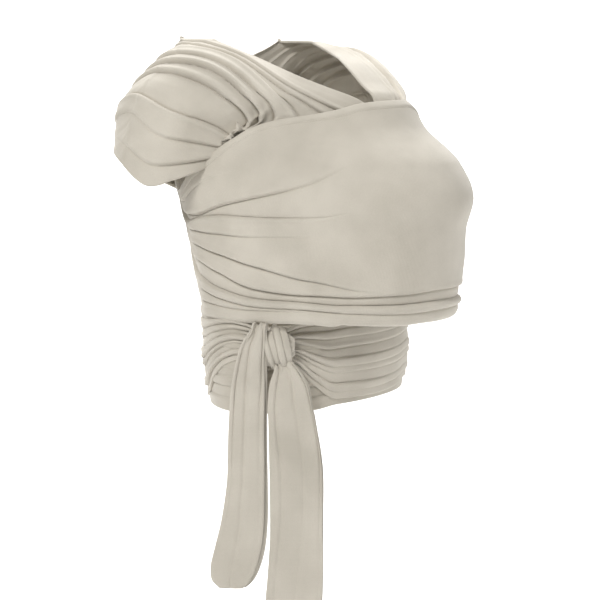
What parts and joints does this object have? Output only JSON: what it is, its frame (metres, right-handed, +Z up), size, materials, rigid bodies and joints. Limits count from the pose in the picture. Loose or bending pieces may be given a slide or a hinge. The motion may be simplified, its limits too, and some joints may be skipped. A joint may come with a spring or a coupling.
{
  "type": "soft baby carrier",
  "caption": "Long knitted wrap tied as a baby carrier: front pass with a seat roll, crossed back passes, wide shoulder caps, waist passes and a hip knot with hanging tails.",
  "frame": {"origin": "on the wearer's vertical axis, level with the lower hem at the hips", "axes": "+Z up along the wearer, the wearer faces -Y, +X towards the wearer's left"},
  "size_m": [0.4729, 0.419, 0.7944],
  "materials": {
    "wrap_knit": "matte knitted",
    "tail_knit": "matte knitted",
    "inner_knit": "matte knitted"
  },
  "bodies": {
    "wrap": {"front_panel": "wrap_knit", "bottom_roll": "wrap_knit", "back_pass_right": "wrap_knit", "back_pass_left": "wrap_knit", "shoulder_cap_right": "wrap_knit", "shoulder_cap_left": "wrap_knit", "seat_cross_right": "inner_knit", "seat_cross_left": "inner_knit", "waist_ring": "inner_knit", "waist_pass_right": "wrap_knit", "waist_pass_left": "wrap_knit", "knot_core": "inner_knit", "knot_turn": "wrap_knit", "knot_over": "wrap_knit"},
    "front_tail_top": {"tail_front_upper": "tail_knit"},
    "front_tail_end": {"tail_front_lower": "tail_knit"},
    "back_tail_top": {"tail_back_upper": "tail_knit"},
    "back_tail_end": {"tail_back_lower": "tail_knit"}
  },
  "joints": [
    {"name": "front_tail_swing", "type": "hinge", "parent": "wrap", "child": "front_tail_top", "pos_m": [-0.15717, -0.0503, 0.045], "axis": [-0.6947, 0.7193, 0], "range_deg": [0, 65]},
    {"name": "front_tail_bend", "type": "hinge", "parent": "front_tail_top", "child": "front_tail_end", "pos_m": [-0.15787, -0.04958, -0.085], "axis": [-0.6947, 0.7193, 0], "range_deg": [-15, 60]},
    {"name": "back_tail_swing", "type": "hinge", "parent": "wrap", "child": "back_tail_top", "pos_m": [-0.11688, -0.09202, 0.045], "axis": [-0.6947, 0.7193, 0], "range_deg": [0, 65]},
    {"name": "back_tail_bend", "type": "hinge", "parent": "back_tail_top", "child": "back_tail_end", "pos_m": [-0.11549, -0.09346, -0.14], "axis": [-0.6947, 0.7193, 0], "range_deg": [-15, 60]}
  ]
}
